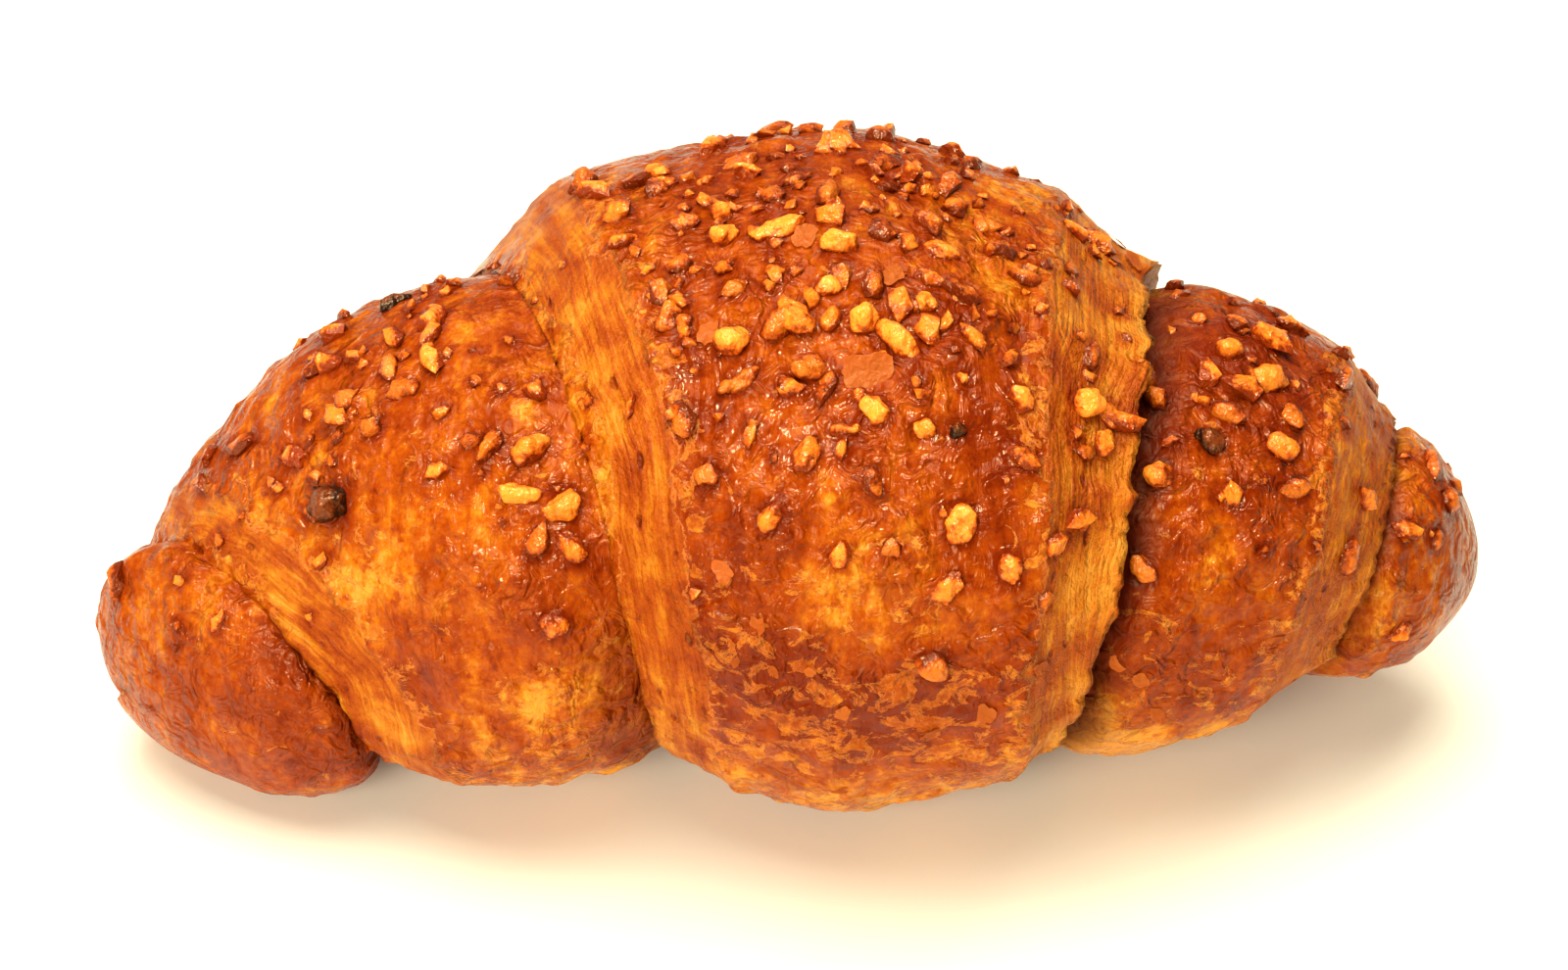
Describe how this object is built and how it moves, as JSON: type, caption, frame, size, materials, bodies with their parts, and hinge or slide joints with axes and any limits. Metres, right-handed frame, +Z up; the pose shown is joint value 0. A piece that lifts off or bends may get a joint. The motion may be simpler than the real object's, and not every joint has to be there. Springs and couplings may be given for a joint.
{
  "type": "croissant",
  "caption": "Glazed butter croissant, rolled in stepped turns with a curved left horn, topped with chopped roasted hazelnuts; stands free on its flat underside.",
  "frame": {"origin": "on the table, under the middle of the croissant's box", "axes": "+X runs along the croissant towards its raised horn, +Y points to its back, +Z is up"},
  "size_m": [0.1486, 0.0818, 0.0666],
  "materials": {
    "baked_dough": "glazed, glossy, red-brown skin with golden layered edges",
    "nut_pale": "satin",
    "nut_golden": "satin",
    "nut_brown": "satin",
    "nut_burnt": "matte"
  },
  "bodies": {
    "root": {"croissant": "baked_dough", "nut_brown_01": "nut_brown", "nut_brown_02": "nut_brown", "nut_pale_03": "nut_pale", "nut_golden_04": "nut_golden", "nut_pale_05": "nut_pale", "nut_pale_06": "nut_pale", "nut_pale_07": "nut_pale", "nut_golden_08": "nut_golden", "nut_golden_09": "nut_golden", "nut_brown_10": "nut_brown", "nut_pale_11": "nut_pale", "nut_golden_12": "nut_golden", "nut_brown_13": "nut_brown", "nut_golden_14": "nut_golden", "nut_golden_15": "nut_golden", "nut_pale_16": "nut_pale", "nut_pale_17": "nut_pale", "nut_pale_18": "nut_pale", "nut_brown_19": "nut_brown", "nut_brown_20": "nut_brown", "nut_pale_21": "nut_pale", "nut_golden_22": "nut_golden", "nut_golden_23": "nut_golden", "nut_burnt_24": "nut_burnt", "nut_pale_25": "nut_pale", "nut_golden_26": "nut_golden", "nut_golden_27": "nut_golden", "nut_pale_28": "nut_pale", "nut_pale_29": "nut_pale", "nut_brown_30": "nut_brown", "nut_pale_31": "nut_pale", "nut_golden_32": "nut_golden", "nut_burnt_33": "nut_burnt", "nut_pale_34": "nut_pale", "nut_pale_35": "nut_pale", "nut_pale_36": "nut_pale", "nut_brown_37": "nut_brown", "nut_burnt_38": "nut_burnt", "nut_golden_39": "nut_golden", "nut_brown_40": "nut_brown", "nut_golden_41": "nut_golden", "nut_pale_42": "nut_pale", "nut_golden_43": "nut_golden", "nut_golden_44": "nut_golden", "nut_golden_45": "nut_golden", "nut_golden_46": "nut_golden", "nut_golden_47": "nut_golden", "nut_burnt_48": "nut_burnt", "nut_golden_49": "nut_golden", "nut_golden_50": "nut_golden", "nut_brown_51": "nut_brown", "nut_brown_52": "nut_brown", "nut_golden_53": "nut_golden"}
  },
  "joints": []
}
